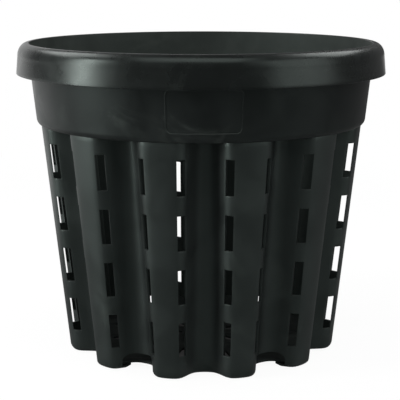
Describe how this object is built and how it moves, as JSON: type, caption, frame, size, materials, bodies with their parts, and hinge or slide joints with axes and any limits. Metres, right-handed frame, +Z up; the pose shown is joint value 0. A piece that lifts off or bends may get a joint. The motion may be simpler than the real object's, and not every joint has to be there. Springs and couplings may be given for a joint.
{
  "type": "air pruning plant pot",
  "caption": "Round black nursery pot with a rolled rim, plain collar and tapered fluted wall, slotted on its lobes' flanks to air-prune roots, with drain arches and a raised slotted floor.",
  "frame": {"origin": "centre of the foot, on the surface that the pot stands on", "axes": "+Z up along the pot's axis, -Y towards the label frame on the collar, +X to the right seen from the front"},
  "size_m": [0.3614, 0.3614, 0.303],
  "materials": {
    "rim_plastic": "black moulded polypropylene, satin on the roll",
    "collar_plastic": "black moulded polypropylene, satin",
    "wall_plastic": "black moulded polypropylene, low satin with fine flow marks",
    "floor_plastic": "black moulded polypropylene, matt"
  },
  "bodies": {
    "root": {"rim_lip": "rim_plastic", "collar_band": "collar_plastic", "label_frame": "collar_plastic", "fluted_wall": "wall_plastic", "floor_plate": "floor_plastic"}
  },
  "joints": []
}
